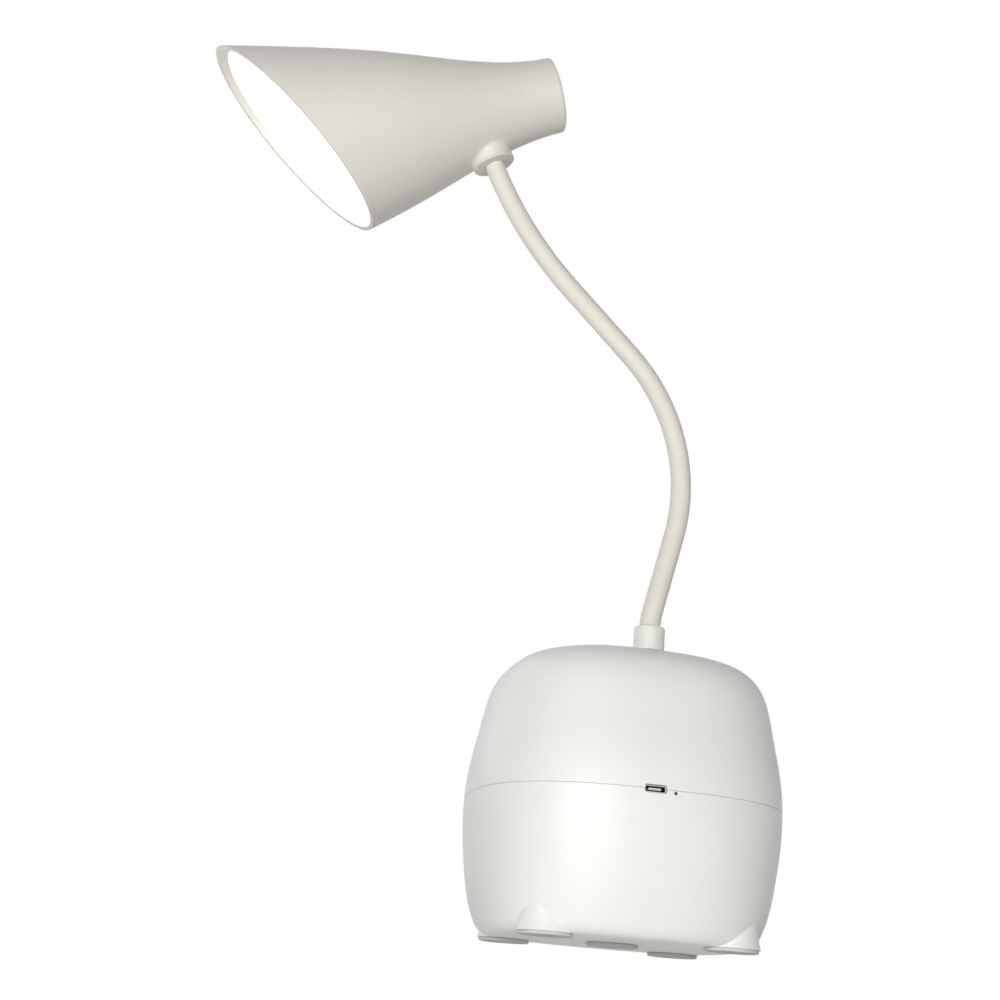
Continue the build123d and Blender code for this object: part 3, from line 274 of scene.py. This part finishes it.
def machinedMetal(name, hexText, roughness, spacing, depth=0.2):
    # machined, plated or cast metal: fine marks, spacing in mm, that break up the highlight
    material, tree, shader, place = newMaterial(name)
    lines = addNode(tree, "ShaderNodeTexNoise", {"noise_dimensions": "3D"}, {
        "Vector": place, "Scale": 1000.0 / spacing, "Detail": 2.0, "Roughness": 0.7,
    })
    stain = addNode(tree, "ShaderNodeTexNoise", {}, {"Vector": place, "Scale": 120.0, "Detail": 4.0})
    gloss = addNode(tree, "ShaderNodeMapRange", {}, {
        "Value": stain.outputs["Fac"], "From Min": 0.3, "From Max": 0.7,
        "To Min": roughness - 0.06, "To Max": roughness + 0.1,
    })
    tone = addNode(tree, "ShaderNodeValToRGB", {}, {"Fac": stain.outputs["Fac"]})
    colour = linearColour(hexText)
    tone.color_ramp.elements[0].color = (*[c * 0.8 for c in colour[:3]], 1)
    tone.color_ramp.elements[1].color = colour
    tree.links.new(tone.outputs["Color"], shader.inputs["Base Color"])
    tree.links.new(gloss.outputs["Result"], shader.inputs["Roughness"])
    bump = addNode(tree, "ShaderNodeBump", {}, {
        "Height": lines.outputs["Fac"], "Strength": depth, "Distance": 0.03 * mm,
    })
    tree.links.new(bump.outputs["Normal"], shader.inputs["Normal"])
    shader.inputs["Metallic"].default_value = 1.0
    return material


def circuitBoard(name, hexText, padHex):
    # glass-epoxy board under solder mask: glossy, with the copper tracks faintly raised
    material, tree, shader, place = newMaterial(name)
    tracks = addNode(tree, "ShaderNodeTexBrick", {"offset": 0.35}, {
        "Vector": place, "Scale": 260.0, "Mortar Size": 0.035, "Mortar Smooth": 0.2,
        "Brick Width": 1.3, "Row Height": 0.45,
    })
    mask = linearColour(hexText)
    tracks.inputs["Color1"].default_value = mask
    tracks.inputs["Color2"].default_value = (*[min(1, c * 1.25) for c in mask[:3]], 1)
    tracks.inputs["Mortar"].default_value = linearColour(padHex)
    tree.links.new(tracks.outputs["Color"], shader.inputs["Base Color"])
    bump = addNode(tree, "ShaderNodeBump", {"invert": True}, {
        "Height": tracks.outputs["Fac"], "Strength": 0.4, "Distance": 0.04 * mm,
    })
    tree.links.new(bump.outputs["Normal"], shader.inputs["Normal"])
    shader.inputs["Roughness"].default_value = 0.28
    shader.inputs["IOR"].default_value = 1.55
    return material


def rubberSheath(name, hexText, roughness=0.55):
    # extruded wire insulation and moulded rubber: semi-matt with a dusty bloom
    material, tree, shader, place = newMaterial(name)
    bloom = addNode(tree, "ShaderNodeTexNoise", {}, {"Vector": place, "Scale": 240.0, "Detail": 5.0})
    tone = addNode(tree, "ShaderNodeValToRGB", {}, {"Fac": bloom.outputs["Fac"]})
    colour = linearColour(hexText)
    tone.color_ramp.elements[0].position = 0.35
    tone.color_ramp.elements[0].color = colour
    tone.color_ramp.elements[1].position = 0.8
    tone.color_ramp.elements[1].color = (*[min(1, c * 1.12 + 0.012) for c in colour[:3]], 1)
    tree.links.new(tone.outputs["Color"], shader.inputs["Base Color"])
    bump = addNode(tree, "ShaderNodeBump", {}, {
        "Height": bloom.outputs["Fac"], "Strength": 0.25, "Distance": 0.05 * mm,
    })
    tree.links.new(bump.outputs["Normal"], shader.inputs["Normal"])
    shader.inputs["Roughness"].default_value = roughness
    shader.inputs["IOR"].default_value = 1.5
    return material


def opalDiffuser():
    # extruded opal acrylic lit from behind: an even white glow with a faint warm haze
    material, tree, shader, place = newMaterial("opal acrylic, lit")
    haze = addNode(tree, "ShaderNodeTexNoise", {}, {"Vector": place, "Scale": 30.0, "Detail": 2.0})
    glow = addNode(tree, "ShaderNodeValToRGB", {}, {"Fac": haze.outputs["Fac"]})
    glow.color_ramp.elements[0].color = linearColour("FFFDF8")
    glow.color_ramp.elements[1].color = linearColour("FFFFFF")
    tree.links.new(glow.outputs["Color"], shader.inputs["Emission Color"])
    shader.inputs["Emission Strength"].default_value = 1.6
    shader.inputs["Base Color"].default_value = linearColour("FAFAF8")
    shader.inputs["Roughness"].default_value = 0.5
    shader.inputs["IOR"].default_value = 1.49  # acrylic
    return material


def clearPipe():
    # polished clear polycarbonate light pipe
    material, tree, shader, place = newMaterial("clear polycarbonate")
    ripple = addNode(tree, "ShaderNodeTexNoise", {}, {"Vector": place, "Scale": 700.0})
    bump = addNode(tree, "ShaderNodeBump", {}, {
        "Height": ripple.outputs["Fac"], "Strength": 0.1, "Distance": 0.02 * mm,
    })
    tree.links.new(bump.outputs["Normal"], shader.inputs["Normal"])
    shader.inputs["Base Color"].default_value = linearColour("3A3B3D")
    shader.inputs["Transmission Weight"].default_value = 0.5
    shader.inputs["Roughness"].default_value = 0.08
    shader.inputs["IOR"].default_value = 1.58
    return material


housingPlastic = mouldedPlastic("ABS moulded satin, white", "F1F1EE", 0.42, 0.10, eased=0.12)
headPlastic = mouldedPlastic("ABS moulded satin, warm grey white", "E4E0D8", 0.45, 0.10, "DAD6CE")
collarPlastic = mouldedPlastic("ABS moulded satin, ivory", "EFEEE6", 0.40, 0.08)
drawerPlastic = mouldedPlastic("ABS moulded satin, drawer white", "F0F0ED", 0.40, 0.10)
innerPlastic = mouldedPlastic("polypropylene moulded plain, inner white", "DEDEDB", 0.52, 0.16)
nylonPlastic = mouldedPlastic("nylon moulded, natural", "ECE8DC", 0.48, 0.12)
buttonPlastic = mouldedPlastic("ABS moulded satin, button grey", "CFCFCC", 0.38, 0.08)
blackPlastic = mouldedPlastic("ABS moulded, black", "17171A", 0.5, 0.2, "2A2A2C")
cellWrap = mouldedPlastic("PVC shrink wrap, blue", "2B5F9E", 0.22, 0.05, "4A78AE")
sleeveSilicone = siliconeRubber("silicone cast, cream", "EBE7DC")
domeSilicone = siliconeRubber("silicone cast, translucent grey", "CFCFCF", 0.5)
padRubber = rubberSheath("rubber moulded, pale grey", "C9C9C5", 0.7)
wireSheath = rubberSheath("PVC extruded, black", "1B1B1D", 0.45)
linkSteel = machinedMetal("steel wound, bright", "A7A9AC", 0.35, 0.6)
zincSteel = machinedMetal("steel zinc plated", "B9BBBE", 0.32, 0.4)
nickelSteel = machinedMetal("steel nickel plated", "C9C8C4", 0.2, 0.5, 0.1)
castIron = machinedMetal("iron cast, bare", "4C4C4E", 0.7, 1.2, 0.9)
sheetAluminium = machinedMetal("aluminium rolled sheet", "D3D5D6", 0.38, 0.5)
greenBoard = circuitBoard("glass epoxy board, green mask", "0F4A2C", "1E6B41")
whiteBoard = circuitBoard("aluminium board, white mask", "E6E8E8", "D2D6D4")
linerPlastic = mouldedPlastic("polycarbonate moulded, reflector white", "F6F6F4", 0.25, 0.03)
phosphorCap = rubberSheath("silicone phosphor, yellow", "E8CF5C", 0.4)
diffuserPlastic = opalDiffuser()
pipePlastic = clearPipe()
print("materials ready")

nodeMaterials = {
    "lower_housing": housingPlastic, "upper_housing": housingPlastic, "rubber_pads": padRubber,
    "ballast_plate": castIron, "inner_deck": innerPlastic, "deck_screws": zincSteel,
    "housing_screws": zincSteel, "board_screws": zincSteel, "drawer_runners": nylonPlastic,
    "battery_cell": cellWrap, "battery_cradle": blackPlastic, "battery_lead": wireSheath,
    "control_board": greenBoard, "usb_socket": nickelSteel, "charge_light": pipePlastic,
    "button_lead": wireSheath, "switch_board": greenBoard, "switch_screws": zincSteel,
    "tact_switch": blackPlastic, "return_dome": domeSilicone, "neck_lead": wireSheath,
    "neck_collar": collarPlastic, "collar_nut": zincSteel, "drawer_tray": innerPlastic,
    "drawer_front": drawerPlastic, "drawer_front_screws": zincSteel, "drawer_knob": drawerPlastic,
    "knob_screw": zincSteel, "power_button": buttonPlastic, "shade": headPlastic,
    "rear_cap": headPlastic, "head_ferrule": headPlastic, "ferrule_nut": zincSteel,
    "diffuser": diffuserPlastic, "reflector_liner": linerPlastic, "lamp_board": whiteBoard,
    "led_chips": phosphorCap, "heat_spreader": sheetAluminium, "lamp_screws": zincSteel,
    "head_lead": wireSheath,
}
for name, node in nodes.items():
    if name.startswith("neck_core"):
        dress(node, linkSteel)
    elif name.startswith(("neck_sleeve", "neck_flex")):
        dress(node, sleeveSilicone)
    else:
        dress(node, nodeMaterials[name])
print("CAD nodes dressed")


# Neck: one silicone sleeve on the gooseneck's path, cut between the hinges into pieces
neck = {
    "x": 0.0, "y": 28.0, "foot": 107.6, "bendStart": 113.0,
    "turns": [(30.0, 12.9), (75.0, -59.4), (157.0, 21.7)],  # bend radius in mm and turn in degrees
    "runs": [31.7, 34.6, 1.0],
    "radius": 3.85, "wall": 1.24, "endGap": 0.3,
    "bendReach": 8.0,
    "curveSteps": 24, "ringSteps": 10, "smoothAngle": 40,
}
hinges = [j for j in frame["joints"] if j["type"] == "hinge"]


def neckKnots():
    # knots of the path with the direction at each, and the handle length to the next knot
    here = Vector((neck["x"], neck["y"], neck["foot"]))
    lean = 0.0
    knots = [(here.copy(), lean, (neck["bendStart"] - neck["foot"]) / 3)]
    here.z = neck["bendStart"]
    for (radius, turn), run in zip(neck["turns"], neck["runs"]):
        sweep = math.radians(turn)
        knots.append((here.copy(), lean, 4 / 3 * math.tan(abs(sweep) / 4) * radius))
        side = -1 if turn > 0 else 1
        centre = here + Vector((math.cos(lean), 0, -math.sin(lean))) * side * radius
        lean -= sweep
        here = centre - Vector((math.cos(lean), 0, -math.sin(lean))) * side * radius
        knots.append((here.copy(), lean, run / 3))
        here = here + Vector((math.sin(lean), 0, math.cos(lean))) * run
    knots.append((here.copy(), lean, run / 3))
    return knots


def sleeveTube():
    bpy.ops.curve.primitive_bezier_curve_add()
    line = bpy.context.object
    line.data.dimensions = "3D"
    points = line.data.splines[0].bezier_points
    knots = neckKnots()
    points.add(len(knots) - 2)
    before = knots[0][2]
    for point, (place, lean, reach) in zip(points, knots):
        along = Vector((math.sin(lean), 0, math.cos(lean)))
        point.handle_left_type = point.handle_right_type = "FREE"
        point.co = place * mm
        point.handle_left = (place - along * before) * mm
        point.handle_right = (place + along * reach) * mm
        before = reach
    line.data.resolution_u = neck["curveSteps"]
    line.data.bevel_depth = neck["radius"] * mm
    line.data.bevel_resolution = neck["ringSteps"]
    makeActive(line)
    bpy.ops.object.convert(target="MESH")
    tube = nameIt("sleeveTube")
    outwardNormals(tube)
    return tube


def cutBetween(piece, low, high):
    # keeps what lies between two planes, each a point and a direction, and leaves both ends open
    for place, normal, clearOuter in ((low[0], low[1], False), (high[0], high[1], True)):
        makeActive(piece)
        bpy.ops.object.mode_set(mode="EDIT")
        bpy.ops.mesh.select_all(action="SELECT")
        bpy.ops.mesh.bisect(
            plane_co=place, plane_no=normal, clear_inner=not clearOuter, clear_outer=clearOuter
        )
        bpy.ops.object.mode_set(mode="OBJECT")


tube = sleeveTube()
hingePlaces = [Vector(h["pos_m"]) for h in hinges]
cuts = [(Vector((0, neck["y"] * mm, (neck["foot"] + neck["endGap"]) * mm)), Vector((0, 0, 1)))]
for below, above in zip(hingePlaces, hingePlaces[1:]):
    cuts.append(((below + above) / 2, (above - below).normalized()))
topPlace, topLean, _ = neckKnots()[-1]
topAlong = Vector((math.sin(topLean), 0, math.cos(topLean)))
cuts.append(((topPlace - topAlong * neck["endGap"]) * mm, topAlong))
for k, hinge in enumerate(hingePlaces):
    piece = copyPiece(tube, f"neck_sleeve_cover_{k + 1}")
    cutBetween(piece, cuts[k], cuts[k + 1])
    addModifier(piece, "SOLIDIFY", thickness=neck["wall"] * mm, offset=-1.0, use_even_offset=True)
    outwardNormals(piece)
    smoothPiece(piece, neck["smoothAngle"])
    dress(piece, sleeveSilicone)
    replaced = [f"neck_sleeve_{k + 1}", f"neck_flex_{k + 1}"]
    if k == len(hingePlaces) - 1:
        replaced.append(f"neck_sleeve_{k + 2}")
    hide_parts(*replaced)
    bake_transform(piece)
bpy.data.objects.remove(tube)
print("neck sleeve made")


# Pads: five round rubber pads stuck under the base, their rims eased
pads = {"radius": 9.6, "ease": 0.4, "easeSteps": 4, "rimAngle": 40, "sides": 72}
padLow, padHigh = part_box("rubber_pads")
padThick = padHigh.z - padLow.z
padReach = padHigh.x - pads["radius"] * mm


def rubberPad(x, y):
    bpy.ops.mesh.primitive_cylinder_add(
        vertices=pads["sides"], radius=pads["radius"] * mm, depth=padThick,
        location=(x, y, padLow.z + padThick / 2),
    )
    piece = nameIt("pad")
    applyPlace(piece)
    addModifier(
        piece, "BEVEL", width=pads["ease"] * mm, segments=pads["easeSteps"],
        limit_method="ANGLE", angle_limit=math.radians(pads["rimAngle"]),
    )
    return piece


padPlaces = [(0, 0)] + [(sx * padReach, sy * padReach) for sx in (-1, 1) for sy in (-1, 1)]
rubberPads = joinPieces([rubberPad(x, y) for x, y in padPlaces], "base_pads")
outwardNormals(rubberPads)
smoothPiece(rubberPads)
dress(rubberPads, padRubber)
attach(rubberPads, "base")
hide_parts("rubber_pads")
print("pads made")


# Return dome: a smooth-shaded copy of the dome, carried by the base
returnDome = copyPiece(nodes["return_dome"], "button_dome")
outwardNormals(returnDome)
smoothPiece(returnDome)
dress(returnDome, domeSilicone)
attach(returnDome, "base")
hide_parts("return_dome")
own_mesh(returnDome)
print("return dome made")


# Charging socket: a thin black sheet inside the nickel shell as painted shade in the socket's mouth, round a
# white contact tongue
# the black sheet's wall and gap set the painted shade inside the socket's mouth
socket = {
    "width": 7.0, "height": 1.9, "mouthDepth": 4.4, "shadeSheetWall": 0.12, "mouthGap": 0.25,
    "shadeSheetGap": 0.04, "tongueWidth": 4.4, "tongueThick": 0.8, "tongueShorter": 0.3, "tongueEase": 0.12,
}
paintedShadeSize = (socket["width"] - socket["shadeSheetGap"], socket["mouthDepth"], socket["height"] - socket["shadeSheetGap"])
tongueSize = (socket["tongueWidth"], socket["mouthDepth"] - socket["tongueShorter"], socket["tongueThick"])
socketLow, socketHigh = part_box("usb_socket")
socketPlace = (socketLow + socketHigh) / 2
socketFace = socketHigh.y - socket["mouthGap"] * mm
socketMiddle = Vector((socketPlace.x, socketFace - socket["mouthDepth"] / 2 * mm, socketPlace.z))


def blockAt(name, place, size):
    bpy.ops.mesh.primitive_cube_add(size=1, location=place, scale=[s * mm for s in size])
    piece = nameIt(name)
    applyPlace(piece)
    return piece


# a black open box with its front face taken away: painted shade inside the socket's mouth
paintedShadeLiner = blockAt("socket_painted_shade", socketMiddle, paintedShadeSize)
pickFaces(paintedShadeLiner, lambda middle, normal: normal.y > 0.9)
bpy.ops.mesh.delete(type="ONLY_FACE")
leaveEdit()
addModifier(paintedShadeLiner, "SOLIDIFY", thickness=socket["shadeSheetWall"] * mm, offset=-1.0)
outwardNormals(paintedShadeLiner)
dress(paintedShadeLiner, blackPlastic)
tongue = blockAt("socket_tongue", socketMiddle, tongueSize)
addModifier(tongue, "BEVEL", width=socket["tongueEase"] * mm, segments=3)
outwardNormals(tongue)
dress(tongue, nylonPlastic)
for piece in (paintedShadeLiner, tongue):
    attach(piece, "base")
print("charging socket lined")


# Floor, background and studio light
studio = {
    "floorSize": 6.0, "floorHex": "F2F2F0", "fadeNear": 0.9, "fadeFar": 1.9, "translucence": 0.3,
    "floorDrop": 0.05, "letThrough": 0.25,
    "keyPlace": (0.35, 0.9, 0.06), "keySize": (0.8, 0.1), "keyPower": 6.0,
    "fillPlace": (0.9, -1.1, 0.8), "fillSize": (1.0, 1.0), "fillPower": 4.0,
    "underPlace": (0.3, 0.5, -0.35), "underSize": (0.4, 0.4), "underPower": 1.6,
    "aim": (0.03, 0.0, 0.15), "worldLight": 0.15,
}


def paleFloor():
    # matt opal sheet, lit softly through, that fades into the background and is clear from below
    material = bpy.data.materials.new("opal acrylic sheet, matt")
    material.use_nodes = True
    tree = material.node_tree
    tree.nodes.remove(tree.nodes["Principled BSDF"])
    output = tree.nodes["Material Output"]
    place = addNode(tree, "ShaderNodeTexCoord").outputs["Object"]
    reach = addNode(tree, "ShaderNodeVectorMath", {"operation": "LENGTH"}, {0: place})
    fade = addNode(tree, "ShaderNodeMapRange", {"interpolation_type": "SMOOTHSTEP"}, {
        "Value": reach.outputs["Value"], "From Min": studio["fadeNear"], "From Max": studio["fadeFar"],
    })
    side = addNode(tree, "ShaderNodeNewGeometry")
    # light other than what the camera sees directly comes partly through, so that the pads are lit
    looked = addNode(tree, "ShaderNodeLightPath")
    passing = addNode(tree, "ShaderNodeMapRange", {}, {
        "Value": looked.outputs["Is Camera Ray"], "To Min": studio["letThrough"], "To Max": 0.0,
    })
    below = addNode(tree, "ShaderNodeMath", {"operation": "MAXIMUM"}, {
        0: passing.outputs["Result"], 1: side.outputs["Backfacing"],
    })
    away = addNode(tree, "ShaderNodeMath", {"operation": "MAXIMUM"}, {
        0: fade.outputs["Result"], 1: below.outputs["Value"],
    })
    paint = addNode(tree, "ShaderNodeBsdfDiffuse", {}, {"Color": linearColour(studio["floorHex"])})
    through = addNode(tree, "ShaderNodeBsdfTranslucent", {}, {"Color": linearColour(studio["floorHex"])})
    sheet = addNode(tree, "ShaderNodeMixShader", {}, {"Fac": studio["translucence"]})
    tree.links.new(paint.outputs["BSDF"], sheet.inputs[1])
    tree.links.new(through.outputs["BSDF"], sheet.inputs[2])
    clear = addNode(tree, "ShaderNodeBsdfTransparent")
    mixed = addNode(tree, "ShaderNodeMixShader", {}, {"Fac": away.outputs["Value"]})
    tree.links.new(sheet.outputs["Shader"], mixed.inputs[1])
    tree.links.new(clear.outputs["BSDF"], mixed.inputs[2])
    tree.links.new(mixed.outputs["Shader"], output.inputs["Surface"])
    return material


bpy.ops.mesh.primitive_plane_add(size=studio["floorSize"], location=(0, 0, -studio["floorDrop"] * mm))
floor = nameIt("floor")
dress(floor, paleFloor())

world = bpy.data.worlds.new("studio")
bpy.context.scene.world = world
world.use_nodes = True
tree = world.node_tree
background = tree.nodes["Background"]
rays = addNode(tree, "ShaderNodeLightPath")
seen = addNode(tree, "ShaderNodeMath", {"operation": "MAXIMUM"}, {
    0: rays.outputs["Is Camera Ray"], 1: rays.outputs["Is Glossy Ray"],
})
seenAll = addNode(tree, "ShaderNodeMath", {"operation": "MAXIMUM"}, {
    0: seen.outputs["Value"], 1: rays.outputs["Is Transmission Ray"],
})
level = addNode(tree, "ShaderNodeMapRange", {}, {
    "Value": seenAll.outputs["Value"], "To Min": studio["worldLight"], "To Max": 1.0,
})
tree.links.new(level.outputs["Result"], background.inputs["Strength"])
background.inputs["Color"].default_value = (1, 1, 1, 1)


def softLight(name):
    bpy.ops.object.light_add(type="AREA", location=studio[name + "Place"])
    lamp = bpy.context.object
    lamp.name = name
    lamp.data.shape = "RECTANGLE"
    lamp.data.size, lamp.data.size_y = studio[name + "Size"]
    lamp.data.energy = studio[name + "Power"]
    lamp.visible_camera = False
    lamp.rotation_euler = (Vector(studio["aim"]) - lamp.location).to_track_quat("-Z", "Y").to_euler()


for name in ("key", "fill", "under"):
    softLight(name)
print("floor and light set")
